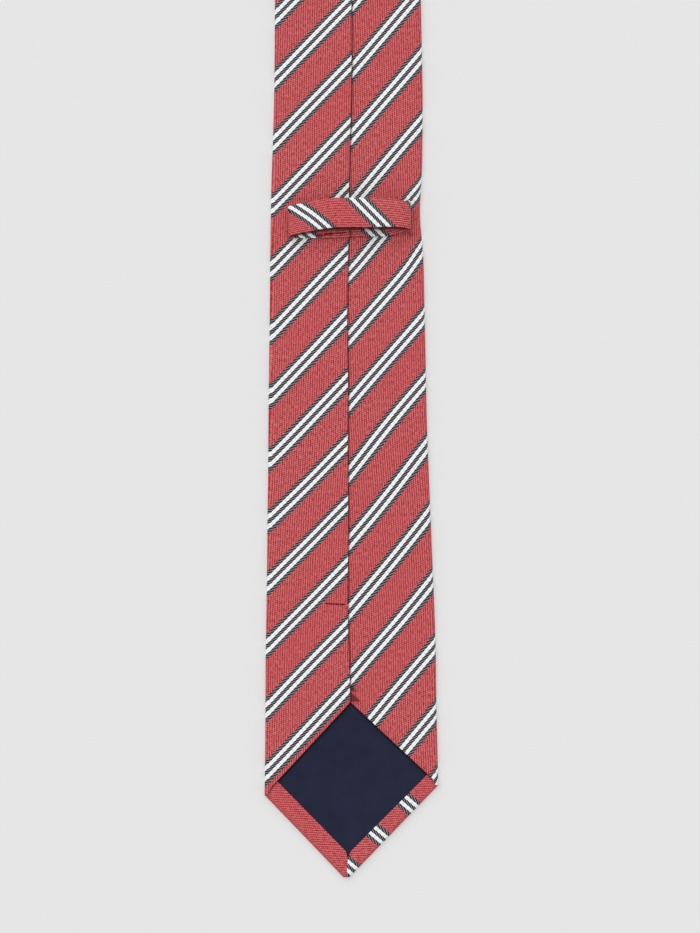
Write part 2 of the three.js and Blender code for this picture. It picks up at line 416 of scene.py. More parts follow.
# Heights of the folded layers over the table, and the sizes of the folds
seam_middle = -0.8 * mm
fold_depth = 1.5 * mm
hem_height = 2.5 * mm
flap_height = 3.3 * mm
lap_rise = 0.62 * mm
under_dip = 0.35 * mm
flap_at_corner = 0.95 * mm
corner_settle = 22 * mm
wave_height = 0.1 * mm
lap_width = 8 * mm
cloth_thickness = 0.3 * mm
flap_roll = 0.4 * mm
hem_roll = 0.22 * mm
crease_depth = 1.1 * mm
fold_take = 0.9 * mm
hem_take = 0.3 * mm
mitre_dip = 0.3 * mm
merge_reach = 0.002 * mm
tack_boxes = [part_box("wide_bar_tack"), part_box("narrow_bar_tack")]


def seam(y):
    """The place across of the left flap's turned edge, which laps over the right flap. It
    wanders a little from side to side on its way along the tie."""
    station = y - wide_tip
    drift = 2.4 * mm * smooth((station - 0.235) / 0.14) * (1 - smooth((station - 0.42) / 0.2))
    near_window = 0.4 * mm * (1 - smooth((station - 0.07) / 0.05))
    bend = -0.3 * mm * hill(station - 0.12, 0.03)
    return seam_middle + drift + near_window + bend + 0.1 * mm * np.sin(station * 97)


def keeper_creases(x, y):
    """How deep a place lies in the two short creases that the keeper's pull leaves beside its
    right end, from 0 to 1."""
    upper = y - keeper_y - 8 * mm - 1.6 * (x - keeper_high.x)
    lower = y - keeper_y + 6.4 * mm + 1.6 * (x - keeper_high.x)
    upper = 0.5 * hill(upper, 1.6 * mm) * hill(x - 27.5 * mm, 1.6 * mm)
    return upper + hill(lower, 1.7 * mm) * hill(x - 26.4 * mm, 2 * mm)


def flap_top(side, x, y):
    """Height of a flap's outer face: level over the interlining and lower near the fold. The
    left flap climbs onto the right one at the seam, and the right one dips to pass under it.
    Both are thinner at the points, and a few slow waves keep them from being flat."""
    from_edge = np.abs(edge(side, y) - x)
    from_seam = x - seam(y)
    height = flap_height - 0.3 * mm * (1 - smooth(from_edge / (9 * mm)))
    if side < 0:
        height = height + lap_rise * smooth(1 + (from_seam + 2 * mm) / (9 * mm))
    else:
        height = height - under_dip * (1 - smooth((from_seam - 0.3 * mm) / (2.2 * mm)))
    start = np.minimum(y - wide_point["corner"][side][1], narrow_point["corner"][side][1] - y)
    at_corner = hem_height + flap_at_corner
    height = at_corner + (height - at_corner) * smooth(start / corner_settle)
    waves = np.sin(y * 61 + x * 90 + side) * np.sin(x * 170 - y * 23)
    waves = waves + 0.6 * np.sin(y * 143 - x * 60)
    height = height + wave_height * waves * smooth(from_edge / (8 * mm))
    if side < 0:
        # The bar tacks draw the cloth down under them, most of all at their left ends
        for low, high in tack_boxes:
            off = y - (low.y + high.y) / 2
            along_tack = smooth((x - low.x + 1 * mm) / mm) * (1 - smooth((x - high.x) / mm))
            height = height - 0.1 * mm * hill(off, 0.9 * mm) * along_tack
            height = height - 0.12 * mm * hill(off, 3 * mm) * hill(x - low.x, 2 * mm)
    else:
        height = height - crease_depth * keeper_creases(x, y)
    return height


def lay(side, x, y):
    """How far the cloth has slipped along each flap, where the hand that folded it let it
    settle. It slips most beside the seam and near the window."""
    station = y - wide_tip
    beside_seam = hill(x - seam(y), 12 * mm)
    if side < 0:
        slip = -1.1 + 1.7 * hill(station - 0.275, 0.075)
        slip = slip + 1.1 * beside_seam * hill(station - 0.158, 0.03)
        return slip * mm
    slip = -1.2 + 1.9 * hill(station - 0.192, 0.048) - 0.7 * (1 - smooth((station - 0.06) / 0.05))
    slip = slip + beside_seam * (hill(station - 0.135, 0.035) - 1.1 * hill(station - 0.267, 0.012))
    slip = slip + 2.6 * hill(edge(1, y) - x, 7 * mm) * hill(station - 0.278, 0.018)
    return slip * mm


def fold_back(x, y, foot, inward, take):
    """Where a folded-over point lay before folding: mirrored in the fold line through foot, and
    further out by the cloth that the round of the fold takes up."""
    depth = (x - foot[0]) * inward[0] + (y - foot[1]) * inward[1]
    return x - (2 * depth + take) * inward[0], y - (2 * depth + take) * inward[1]


def cut_of_flap(side, x, y):
    """Flat-cut coordinates of a point on a flap, mirrored in the folded edge beside it."""
    slope = edge_slope(side, y)
    size = np.sqrt(1 + slope * slope)
    inward = (-side / size, side * slope / size)
    u, v = fold_back(x, y, (fold_line(side, y), y), inward, fold_take)
    return u, v - lay(side, x, y)


open_air = 10 * mm  # the distance given where no layer lies over


def patch(x, y, z, u, v, cover=open_air):
    """One grid of cloth in rows and columns: its points, and for each its flat-cut coordinates
    and its distance from the edge of the layer that lies over it."""
    x, y, z, u, v, cover = np.broadcast_arrays(x, y, z, u, v, cover)
    return np.stack([x, y, z], -1), np.stack([u, v, cover], -1)


half_turn = np.linspace(-math.pi / 2, math.pi / 2, 12)[None]
turn_share = half_turn / math.pi + 0.5
from_edge_steps = {
    -1: np.array([0, 1.0, 2.5, 4.5, 7, 10, 13]) * mm,
    1: np.array([0, 5, 7.4, 8.1, 8.7, 9.5, 11.5]) * mm,
}
flap_columns = 22
front_columns = 24
roll_steps = 6
tuck_steps = np.array([[1.5, 3.5, 6.0]]) * mm
rim_columns = roll_steps - 1 + tuck_steps.size
half_columns = half_turn.size + flap_columns - 1 + rim_columns


def folded_rows(y0, skew, free, leans):
    """The folded cloth as one grid. Each row is a straight line across in plan,
    y = y0 + skew * x, and its columns go from the left flap's turned edge over the left fold,
    along the front and over the right fold to the right flap's edge. free gives the place
    across of each flap's free edge on every row, and leans how one row's folds slant instead,
    where they meet a point's corners."""
    y0, skew = y0[:, None], skew[:, None]
    halves = {}
    for side in (-1, 1):
        rim = edge(side, y0)
        for _ in range(4):
            rim = edge(side, y0 + skew * rim)
        inner = rim - side * fold_depth
        y_inner = y0 + skew * inner
        # The round of the fold: half an ellipse from the front's face up to the flap's
        lean = skew * np.ones_like(half_turn)
        for row, value in leans.items():
            lean[row] = value[side]
        top_start = flap_top(side, inner, y_inner)
        fold_x = inner + side * fold_depth * np.cos(half_turn)
        fold_y = y_inner + lean * (fold_x - inner)
        fold_z = top_start / 2 * (1 + np.sin(half_turn))
        u_back, v_back = cut_of_flap(side, inner, y_inner)
        fold_u = inner + (u_back - inner) * turn_share
        fold_v = y_inner + (v_back - y_inner) * turn_share
        # The flap itself, level from the fold to its free edge
        room = np.maximum(-side * (free[side][:, None] - inner), 0)
        radius = np.minimum(flap_roll, room / 3)
        near = from_edge_steps[side][None] * np.minimum(1, room / (20 * mm))
        even = np.linspace(0, 1, flap_columns - near.shape[1] + 1)[None, 1:-1]
        across_flap = even * (room - radius - near[:, -1:])
        across_flap = np.concatenate([across_flap, room - radius - near[:, ::-1]], 1)
        flap_x = inner - side * across_flap
        flap_y = y0 + skew * flap_x
        flap_z = flap_top(side, flap_x, flap_y)
        flap_u, flap_v = cut_of_flap(side, flap_x, flap_y)
        # The turned edge, and a little of the cloth that goes back under it
        bend = np.linspace(math.pi / 2, -math.pi / 2, roll_steps)[None, 1:]
        last_x, last_z = flap_x[:, -1:], flap_z[:, -1:]
        edge_x = last_x - side * radius * np.cos(bend)
        edge_z = last_z - radius + radius * np.sin(bend)
        tuck_x = last_x + side * np.minimum(tuck_steps, room * tuck_steps / (8 * mm))
        tuck_z = last_z - 2 * radius + 0 * tuck_x
        rim_x = np.concatenate([edge_x, tuck_x], 1)
        rim_z = np.concatenate([edge_z, tuck_z], 1)
        rim_y = y0 + skew * rim_x
        beyond = np.cumsum(np.abs(np.diff(rim_x, prepend=last_x, axis=1)) + 0.1 * mm, 1)
        rim_u, rim_v = cut_of_flap(side, last_x - side * beyond, rim_y)
        # The right flap lies under the left one up to the seam, and each turned edge under itself.
        # Their cover gives painted shade there, and in the keeper's creases on the right flap.
        fold_cover = open_air + 0 * fold_x
        flap_cover = open_air + 0 * flap_x
        if side > 0:
            painted_crease_shade = painted_shade_reach * (1 - 0.6 * keeper_creases(flap_x, flap_y))
            flap_cover = np.minimum(flap_x - seam(flap_y), painted_crease_shade)
        rim_cover = painted_shade_reach * (np.sin(bend) + 1) / 2
        rim_cover = np.concatenate([rim_cover, 0 * tuck_steps], 1) + 0 * rim_x
        fold = (fold_x, fold_y, fold_z, fold_u, fold_v, fold_cover)
        flap = (flap_x, flap_y, flap_z, flap_u, flap_v, flap_cover)
        rim = (rim_x, rim_y, rim_z, rim_u, rim_v, rim_cover)
        halves[side] = [np.concatenate(group, 1) for group in zip(fold, flap, rim)]
    left, right = halves[-1], halves[1]
    part = np.linspace(0, 1, front_columns)[None, 1:-1]
    x, y = (left[i][:, :1] + (right[i][:, :1] - left[i][:, :1]) * part for i in (0, 1))
    front = [x, y, x * 0, x, y, x * 0 + open_air]
    joined = [np.concatenate([l[:, ::-1], f, r], 1) for l, f, r in zip(left, front, right)]
    return patch(*joined)


def sheet_mesh(name, patches, finish, thickness=None, cut_shift=(0, 0)):
    """Joins grids into one mesh, merges what meets, turns its faces out, which for an open sheet
    means that its lowest face looks down, and gives it its thickness inwards. The flat-cut
    coordinates become the UV map "cloth", and the cover an attribute."""
    points, cuts, faces = [], [], []
    for place, cut in patches:
        rows, columns = place.shape[:2]
        index = np.arange(rows * columns).reshape(rows, columns) + sum(len(p) for p in points)
        quads = np.stack([index[:-1, :-1], index[:-1, 1:], index[1:, 1:], index[1:, :-1]], -1)
        points.append(place.reshape(-1, 3))
        cuts.append(cut.reshape(-1, 3))
        faces.append(quads.reshape(-1, 4))
    points, cuts, faces = (np.concatenate(group) for group in (points, cuts, faces))
    flat = cuts[:, :2] - (0, wide_tip) + cut_shift
    mesh = bpy.data.meshes.new(name)
    mesh.from_pydata(points.tolist(), [], faces.tolist())
    layer = mesh.uv_layers.new(name="cloth")
    layer.data.foreach_set("uv", flat[faces.ravel()].astype(np.float32).ravel())
    cover = mesh.attributes.new("cover", "FLOAT", "CORNER")
    cover.data.foreach_set("value", cuts[faces.ravel(), 2].astype(np.float32))
    shape = bmesh.new()
    shape.from_mesh(mesh)
    bmesh.ops.remove_doubles(shape, verts=shape.verts, dist=merge_reach)
    bmesh.ops.dissolve_degenerate(shape, edges=shape.edges, dist=1e-6)
    bmesh.ops.recalc_face_normals(shape, faces=shape.faces)
    shape.to_mesh(mesh)
    shape.free()
    facing, centres = np.empty((2, len(mesh.polygons) * 3), np.float32)
    mesh.polygons.foreach_get("normal", facing)
    mesh.polygons.foreach_get("center", centres)
    if facing[2::3][centres[2::3].argmin()] > 0:
        mesh.flip_normals()
    mesh.shade_smooth()
    # The borders stay crisp, so that lengths of cloth that meet end to end show no line
    edge_of_corner = np.empty(len(mesh.loops), np.int32)
    mesh.loops.foreach_get("edge_index", edge_of_corner)
    borders = np.bincount(edge_of_corner, minlength=len(mesh.edges)) == 1
    crisp = mesh.attributes.new("sharp_edge", "BOOLEAN", "EDGE")
    crisp.data.foreach_set("value", borders)
    mesh.materials.append(finish.material)
    piece = bpy.data.objects.new(name, mesh)
    bpy.context.scene.collection.objects.link(piece)
    if thickness:
        solid = piece.modifiers.new("thickness", "SOLIDIFY")
        solid.thickness = thickness
        solid.offset = -1
    return piece


def flat_facts(patches):
    """A cut's flat size, width and length, and its area, which is that of its grids."""
    cuts = np.concatenate([cut[..., :2].reshape(-1, 2) for _, cut in patches])
    width, length = np.ptp(cuts, axis=0).tolist()
    area = 0
    for place, _ in patches:
        first = place[1:, 1:] - place[:-1, :-1]
        second = place[1:, :-1] - place[:-1, 1:]
        area += np.linalg.norm(np.cross(first, second), axis=-1).sum() / 2
    return {"flat": (width, length), "area": float(min(area, width * length))}


def unit(vectors):
    """Vectors, one or many, brought to a length of one."""
    return vectors / np.linalg.norm(vectors, axis=-1, keepdims=True)


def crossing(start, heading, through, line):
    """How far along its heading a point gets before it meets a line through another point."""
    gap = through - start
    size = heading[0] * line[1] - heading[1] * line[0]
    return (gap[..., 0] * line[1] - gap[..., 1] * line[0]) / size


def hem_inward(point, side):
    """The level direction from a hem's folded edge into the tie, square to that edge."""
    run = unit(point["corner"][side] - point["blunt"][side])
    return np.array([-run[1], run[0]]) * (1 if side * point["ahead"] > 0 else -1)


def mitre_step(first, second):
    """The step inwards from a corner that moves both of its edges inwards by one."""
    return (first + second) / (1 + first @ second)


def turned(vector, degrees):
    """A level vector turned by an angle, anticlockwise from above."""
    angle = math.radians(degrees)
    return np.array([
        vector[0] * math.cos(angle) - vector[1] * math.sin(angle),
        vector[0] * math.sin(angle) + vector[1] * math.cos(angle),
    ])


def off_flaps(point, apex, side, x, y):
    """How far a place in the window is from a side's flap, negative under the flap. The flap's
    free edge runs from a little past the corner to the apex."""
    ahead = point["ahead"]
    run = unit(apex - point["corner"][side] - (0, point["diagonal_rise"][side] * ahead))
    return side * ahead * (run[0] * (y - apex[1]) - run[1] * (x - apex[0]))


def point_patches(point, widths, apex, corner_row):
    """The grids of a pointed end: the front beyond the corners, and the two hems. A hem starts
    on the front's border, rounds the fold and lies flat inwards. It reaches as far as the hem is
    wide, which is given at the tip and at the corner, or less where it meets the other hem in
    the mitre, and past the corner it fans out under the flap."""
    ahead = point["ahead"]
    inward = {side: hem_inward(point, side) for side in (-1, 1)}
    straight = np.array([0.0, ahead])
    blunt_step = {side: mitre_step(inward[side], straight) for side in (-1, 1)}
    start_in = {side: point["blunt"][side] + blunt_step[side] * fold_depth for side in (-1, 1)}
    tip_middle = (point["blunt"][-1] + point["blunt"][1]) / 2
    tip_in = (start_in[-1] + start_in[1]) / 2
    near_tip = {side: point["blunt"][side] + inward[side] * widths[side][0] for side in (-1, 1)}
    at_side = {side: point["corner"][side] + inward[side] * widths[side][1] for side in (-1, 1)}
    run = {side: unit(at_side[side] - near_tip[side]) for side in (-1, 1)}
    reach_left = crossing(near_tip[-1], run[-1], near_tip[1], run[1])
    mitre = near_tip[-1] + run[-1] * reach_left - tip_middle
    border = {}
    share = np.linspace(0, 1, 15)[:, None]
    for side, corner in ((-1, corner_row[0]), (1, corner_row[-1])):
        border[side] = start_in[side] + (corner - start_in[side]) * share
    part = np.linspace(0, 1, front_columns)[None]
    step = border[1] - border[-1]
    x, y = (border[-1][:, i:i + 1] + step[:, i:i + 1] * part for i in (0, 1))
    grids = [patch(x, y, x * 0, x, y)]
    for side in (-1, 1):
        fan = 5
        begin = np.concatenate([tip_in[None], border[side], np.repeat(border[side][-1:], fan, 0)])
        rows = len(begin)
        heading = np.repeat(inward[side][None], rows, 0)
        out = -heading
        out[0] = -straight
        out[1] = -blunt_step[side]
        level = np.array([-side, 0.0])
        out[-1 - fan:] = -mitre_step(inward[side], level)
        spread = np.linspace(0, 22, fan + 1)[1:] * -side * ahead
        heading[-fan:] = [turned(inward[side], degrees) for degrees in spread]
        # How far each place lies outwards, on the round of the fold, and then inwards from it
        limit = crossing(begin, inward[side], tip_middle, mitre)
        width = np.interp(np.arange(rows), [1, rows - 1 - fan], widths[side])
        reach = np.minimum(width - fold_depth - hem_roll, np.maximum(limit, 0))[:, None]
        inwards = reach * np.linspace(0, 1, 9)[None, 1:]
        bend = np.linspace(math.pi / 2, -math.pi / 2, 5)[None, 1:]
        radius = np.minimum(hem_roll, reach / 3)
        round_z = hem_height / 2 * (1 + np.sin(half_turn)) + 0 * reach
        to_mitre = np.maximum(limit[:, None] - inwards, 0)
        flat_z = hem_height - mitre_dip * hill(to_mitre, 0.7 * mm)
        edge_z = flat_z[:, -1:] - radius + radius * np.sin(bend)
        z = np.concatenate([round_z, flat_z, edge_z], 1)
        rounds, flats = 0 * round_z, 0 * z[:, half_turn.size:]
        outwards = np.concatenate([fold_depth * np.cos(half_turn) + rounds, flats], 1)
        inwards = np.concatenate([rounds, inwards, reach + radius * np.cos(bend)], 1)
        begin, out, heading = (steps[:, None] for steps in (begin, out, heading))
        plan = begin + out * outwards[..., None] + heading * inwards[..., None]
        # On the flat cut the turned edge counts as its last flat place
        held = begin + out * outwards[..., None] + heading * np.minimum(inwards, reach)[..., None]
        held_x, held_y = np.moveaxis(held, -1, 0)
        unfolded = fold_back(held_x, held_y, point["blunt"][side], inward[side], hem_take)
        folded = np.concatenate([turn_share + rounds, 1 + flats], 1)[..., None]
        cuts = begin + (np.stack(unfolded, -1) - begin) * folded
        # Painted shade on the hem beside and under the flaps' edges, and under its own turned edge
        cover = off_flaps(point, apex, side, plan[..., 0], plan[..., 1])
        turned_under = painted_shade_reach * (np.sin(bend) + 1) / 2
        cover[:, -4:] = np.minimum(cover[:, -4:], turned_under)
        grids.append(patch(*np.moveaxis(plan, -1, 0), z, *np.moveaxis(cuts, -1, 0), cover))
    return grids


def corner_facts(point):
    """The row through a point's two corners, as its height at x = 0 and its skew, and how the
    folds lean there so that they end exactly at the corners."""
    inner, lean = {}, {}
    for side in (-1, 1):
        step = mitre_step(hem_inward(point, side), np.array([-side, 0.0]))
        inner[side] = point["corner"][side] + step * fold_depth
        lean[side] = step[1] / step[0]
    skew = (inner[1][1] - inner[-1][1]) / (inner[1][0] - inner[-1][0])
    return inner[-1][1] - skew * inner[-1][0], skew, lean


def seam_edges(y0):
    """The flaps' free edges along the seam: the left one on it, the right one hidden under it."""
    return {-1: seam(y0), 1: seam(y0) - lap_width}


def free_edges(y0, skew, point, apex):
    """The place across of each flap's free edge on every row: the diagonal from the corner to
    the window's apex, and past it the seam on the left and the hidden lap on the right."""
    hidden = seam_edges(y0)
    past = (y0 - apex[1]) * point["ahead"] > 60 * mm
    free = {}
    for side in (-1, 1):
        corner = point["corner"][side] + (0, point["diagonal_rise"][side] * point["ahead"])
        slope = (apex[1] - corner[1]) / (apex[0] - corner[0])
        diagonal = (y0 - corner[1] + slope * corner[0]) / (slope - skew)
        nearer = np.minimum if side < 0 else np.maximum
        free[side] = np.where(past, hidden[side], nearer(diagonal, hidden[side]))
    return free


# Where the neck's cut is seamed to the blades, on the bias, and how far the rows take to turn
bias_turn = 75 * mm
bias_seams = {"wide": wide_tip + 679 * mm, "narrow": wide_tip + 1009.7 * mm}
seam_groove = 0.22 * mm


def bias_skew(y0, seam_y):
    """How far a row slants: by 1, which is 45 degrees, on the bias seam, and not at all once it
    is further from it than the rows take to turn."""
    return smooth(1 - np.abs(y0 - seam_y) / bias_turn)


def groove(patches, seam_y):
    """Presses a fine groove into the cloth along a bias seam, from its outer face inwards."""
    grooved = []
    for place, cut in patches:
        place = place.copy()
        off = (place[..., 1] - place[..., 0] - seam_y) / math.sqrt(2)
        inwards = np.where(place[..., 2] < flap_height / 2, 1, -1)
        place[..., 2] += inwards * seam_groove * hill(off, 0.7 * mm)
        grooved.append((place, cut))
    return grooved


def row_places(start, end, spacing):
    """Places from start to end at about one spacing, closer together next to a bias seam."""
    fine = np.array([0.3, 0.6, 1.0, 1.5, 2.2]) * mm
    count = max(int(round((end - start) / spacing)), 2)
    places = [np.linspace(start, end, count + 1)]
    places += [start + fine] * (start in bias_seams.values())
    places += [end - fine] * (end in bias_seams.values())
    if start < keeper_y < end:
        places.append(np.arange(keeper_y - 14 * mm, keeper_y + 14 * mm, 1 * mm))
    return np.unique(np.concatenate(places).round(7))


def blade_patches(point, end, hem_widths, apex, spacing):
    """A blade's whole shell, from its pointed tip to its bias seam."""
    seam_y = bias_seams[end]
    y_corner, skew_corner, lean = corner_facts(point)
    part = np.linspace(0, 1, 17)
    y_window = y_corner + (apex[1] - y_corner) * part
    skew_window = skew_corner * (1 - part)
    y_rest = row_places(*sorted((apex[1], seam_y)), spacing)
    skew_rest = bias_skew(y_rest, seam_y)
    if point["ahead"] > 0:
        corner_index = 0
        y0 = np.concatenate([y_window, y_rest[1:]])
        skew = np.concatenate([skew_window, skew_rest[1:]])
    else:
        y0 = np.concatenate([y_rest[:-1], y_window[::-1]])
        skew = np.concatenate([skew_rest[:-1], skew_window[::-1]])
        corner_index = len(y0) - 1
    body = folded_rows(y0, skew, free_edges(y0, skew, point, apex), {corner_index: lean})
    row = body[0][corner_index]
    corner_row = row[half_columns - 1:half_columns + front_columns - 1, :2]
    return groove([body] + point_patches(point, hem_widths, apex, corner_row), seam_y)


def dress(piece, facts=None, body=None, across=None, replaces=()):
    """Settles a finished piece: one that spans a bend keeps its place in the world, any other
    rides on its body, and the CAD pieces that it stands for are hidden. Its facts, a sheet's
    flat size, are not used."""
    if across:
        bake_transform(piece)
    else:
        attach(piece, body)
    if replaces:
        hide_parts(*replaces)


wide_apex = np.array([-0.2 * mm, wide_tip + 75.6 * mm])
wide_hems = {-1: (8.7 * mm, 8.2 * mm), 1: (7.6 * mm, 6.7 * mm)}
wide_patches = blade_patches(wide_point, "wide", wide_hems, wide_apex, 4 * mm)
wide_cloth = sheet_mesh("wide_blade_cloth", wide_patches, silk, cloth_thickness)
wide_facts = flat_facts(wide_patches)
dress(wide_cloth, wide_facts, body="wide_blade", replaces=["wide_shell"])

narrow_apex = np.array([-0.5 * mm, narrow_tip - 44 * mm])
narrow_hems = {-1: (6.6 * mm, 6.3 * mm), 1: (6.4 * mm, 6.0 * mm)}
narrow_shift = (0, 6 * mm)  # moves the stripes along this cut
narrow_patches = blade_patches(narrow_point, "narrow", narrow_hems, narrow_apex, 5 * mm)
narrow_cloth = sheet_mesh(
    "narrow_blade_cloth", narrow_patches, silk, cloth_thickness, narrow_shift
)
narrow_facts = flat_facts(narrow_patches)
dress(narrow_cloth, narrow_facts, body="narrow_blade", replaces=["narrow_shell"])

# The neck's cut bends round the collar at three places, so it is made in three lengths. Each
# spans one of them, and they meet between the bends, where nothing moves.
bends = {joint["name"]: joint for joint in frame["joints"]}
bend_reach = 13 * mm
bend_height = 2 * mm
neck_shift = (0, 11 * mm)  # moves the stripes along this cut
bend_order = ["neck_bend_wide_side", "neck_bend_nape", "neck_bend_narrow_side"]
bend_places = [bends[name]["pos_m"][1] for name in bend_order]
meeting = [(bend_places[0] + bend_places[1]) / 2, (bend_places[1] + bend_places[2]) / 2]


def bend_of(index):
    """The two bodies that a neck bend joins, and where the cloth starts and ends bending."""
    joint = bends[bend_order[index]]
    start, end = [(0, bend_places[index] + off, bend_height) for off in (-bend_reach, bend_reach)]
    return joint["parent"], joint["child"], start, end


neck_starts = [bias_seams["wide"], *meeting, bias_seams["narrow"]]
for index, (name, nodes) in enumerate((
    ("neck_cloth_wide_side", ["neck_shell_wide_end", "neck_shell_wide_side"]),
    ("neck_cloth_nape", ["neck_shell_narrow_side"]),
    ("neck_cloth_narrow_side", ["neck_shell_narrow_end"]),
)):
    y0 = row_places(*neck_starts[index:index + 2], 2 * mm)
    skew = np.maximum(*[bias_skew(y0, seam_y) for seam_y in bias_seams.values()])
    stretch = [folded_rows(y0, skew, seam_edges(y0), {})]
    for seam_y in bias_seams.values():
        stretch = groove(stretch, seam_y)
    neck_cloth = sheet_mesh(name, stretch, silk, cloth_thickness, neck_shift)
    dress(neck_cloth, flat_facts(stretch), across=bend_of(index), replaces=nodes)

# ---------------------------------------------------------------------------------------------
# The tipping: a lining of navy satin that closes each point inside the hems. It is cut a little
# larger than the window, and its edges go in under the hems and the flaps.
satin = Finish("tipping_satin", Roughness=0.5, Specular_IOR_Level=0.15)
satin_place = satin.node("TexCoord", output=3)
satin_wave = satin.node("TexNoise", Vector=satin_place, Scale=160.0, Detail=3.0)
satin_cloud = satin.node("TexNoise", Vector=satin_place, Scale=30.0, Detail=2.0)
satin_x, satin_y = satin.parts(satin_place)
satin_pitch = 0.42 * mm
satin_lines = (satin_x * 0.8 + satin_y * 0.6).wave(satin_pitch)
satin_share = satin_lines * 0.35 + satin_wave * 0.4 + satin_cloud * 0.25
satin_colour = satin.mix(satin_share.step(0.2, 0.8), tone(18, 24, 48), tone(34, 38, 62))
# Painted shadow: the satin is darkened to black beside and under the flaps' edges
satin_cover = satin.node("Attribute", 2, {"attribute_name": "cover"})
satin_painted_shadow = 1 - satin_cover.step(-0.3 * mm, 1.6 * mm)
satin.show(
    Base_Color=satin.mix(satin_painted_shadow, satin_colour, tone(0, 0, 0), "MULTIPLY"),
    Roughness=0.56 - satin_share * 0.12,
    Normal=satin.bump(satin_lines * 0.4 + satin_wave, 0.03 * mm, 0.6),
)

tipping_height = 1.7 * mm
tipping_pucker = 0.03 * mm
tipping_thickness = 0.16 * mm


def level_patch(corners, low, high, height, spacing, columns, fold_room=0):
    """A level sheet between two places along the tie, inside the corners of an outline. Its rows
    run straight across, from the outline's left chain of corners to its right one, or to
    fold_room short of the folded edges where those come closer."""
    place = corners[:, 1]
    first, last = place.min(), place.max()
    tips = [corners[place == first], corners[place == last]]
    centre = np.interp(place, [first, last], [tip[:, 0].mean() for tip in tips])
    inside = (place > first) & (place < last)
    chains = []
    for side in (-1, 1):
        ends = [tip[(tip[:, 0] * side).argmax()][None] for tip in tips]
        chain = np.concatenate(ends + [corners[inside & ((corners[:, 0] - centre) * side > 0)]])
        chains.append(chain[chain[:, 1].argsort()])
    rows = np.linspace(low, high, max(int(round((high - low) / spacing)), 2) + 1)
    knots = place[(place > low) & (place < high)]
    y = np.unique(np.concatenate([rows, knots]).round(7))[:, None]
    left, right = (np.interp(y, chain[:, 1], chain[:, 0]) for chain in chains)
    left = np.maximum(left, edge(-1, y) + fold_room)
    right = np.minimum(right, edge(1, y) - fold_room)
    x = left + (right - left) * np.linspace(0, 1, columns)[None]
    return [patch(x, y + 0 * x, height(x, y), x, y)]


def tipping_rise(x, y):
    """The satin's height: nearly level, with slow and very slight puckers."""
    pucker = np.sin(x * 210 + y * 95) * np.sin(y * 160 - x * 40)
    return tipping_height + tipping_pucker * pucker


for name, body, point, apex in (
    ("wide_tipping", "wide_blade", wide_point, wide_apex),
    ("narrow_tipping", "narrow_blade", narrow_point, narrow_apex),
):
    corners = corners_of(name)
    low, high = corners[:, 1].min(), corners[:, 1].max()
    lining = level_patch(corners, low, high, tipping_rise, 0.5 * mm, 90)
    # The satin's cover is its distance from the flaps' edges, which sets its painted shadow
    for place, cut in lining:
        off = [off_flaps(point, apex, side, place[..., 0], place[..., 1]) for side in (-1, 1)]
        cut[..., 2] = np.minimum(*off)
    satin_sheet = sheet_mesh(name + "_satin", lining, satin, tipping_thickness)
    dress(satin_sheet, flat_facts(lining), body, replaces=[name])

# ---------------------------------------------------------------------------------------------
# The interlining: a brushed wool cloth that fills the tie from point to point and gives it its
# spring. It lies loose in the shell and bends with it at the neck, so it too is made in three
# lengths.
wool = Finish("interlining_wool", Roughness=0.95, Sheen_Weight=0.4, Sheen_Roughness=0.6)
wool_place = wool.node("UVMap", settings={"uv_map": "cloth"})
wool_fuzz = wool.node("TexNoise", Vector=wool_place, Scale=1500.0, Detail=4.0)
wool_cloud = wool.node("TexNoise", Vector=wool_place, Scale=60.0, Detail=2.0)
wool_share = wool_fuzz * 0.7 + wool_cloud * 0.3
wool.show(
    Base_Color=wool.mix(wool_share, tone(196, 190, 178), tone(236, 232, 222)),
    Normal=wool.bump(wool_fuzz, 0.15 * mm, 0.9),
)

wool_thickness = 0.78 * mm
wool_base = 0.83 * mm
wool_fold_room = 2 * mm
wool_corners = corners_of(*[name for name in frame["nodes"] if "interlining" in name])


def wool_rise(x, y):
    """The wool's lower face, level, with the small unevenness of brushed cloth."""
    return wool_base + 0.03 * mm * np.sin(x * 400) * np.sin(y * 310)


wool_starts = [wool_corners[:, 1].min(), *meeting, wool_corners[:, 1].max()]
for index, (name, nodes) in enumerate((
    ("wide_wool", ["wide_interlining", "neck_interlining_wide_side"]),
    ("nape_wool", ["neck_interlining_narrow_side"]),
    ("narrow_wool", ["narrow_interlining"]),
)):
    start, end = wool_starts[index:index + 2]
    wool_patch = level_patch(wool_corners, start, end, wool_rise, 2 * mm, 15, wool_fold_room)
    wool_sheet = sheet_mesh(name, wool_patch, wool, wool_thickness)
    facts = flat_facts(wool_patch)
    dress(wool_sheet, facts, across=bend_of(index), replaces=nodes)

# ---------------------------------------------------------------------------------------------
# The slip stitch: one long red thread that closes the seam, made in the same three lengths. It
# runs unseen in the channel under the lap, and dips to the interlining at every stitch.
thread = Finish("red_thread", Roughness=0.6, Specular_IOR_Level=0.15)
thread_place = thread.node("UVMap", settings={"uv_map": "cloth"})
thread_round, thread_long = thread.parts(thread_place)
ply_pitch = 0.55 * mm
slip_radius = 0.14 * mm
slip_pitch = 9 * mm
slip_inside = 9.6 * mm  # how far in from the lap's edge it runs
ply = (thread_long + thread_round * 0.8).wave(ply_pitch)
thread_fuzz = thread.node("TexNoise", Vector=thread_place, Scale=3000.0, Detail=2.0)
thread.show(
    Base_Color=thread.mix(ply * 0.7 + thread_fuzz * 0.3, tone(92, 0, 10), tone(142, 8, 24)),
    Normal=thread.bump(ply + thread_fuzz * 0.3, 0.05 * mm, 0.9),
)


def run_of(path):
    """How far along a path each of its points lies."""
    return np.concatenate([[0], np.cumsum(np.linalg.norm(np.diff(path, axis=0), axis=1))])


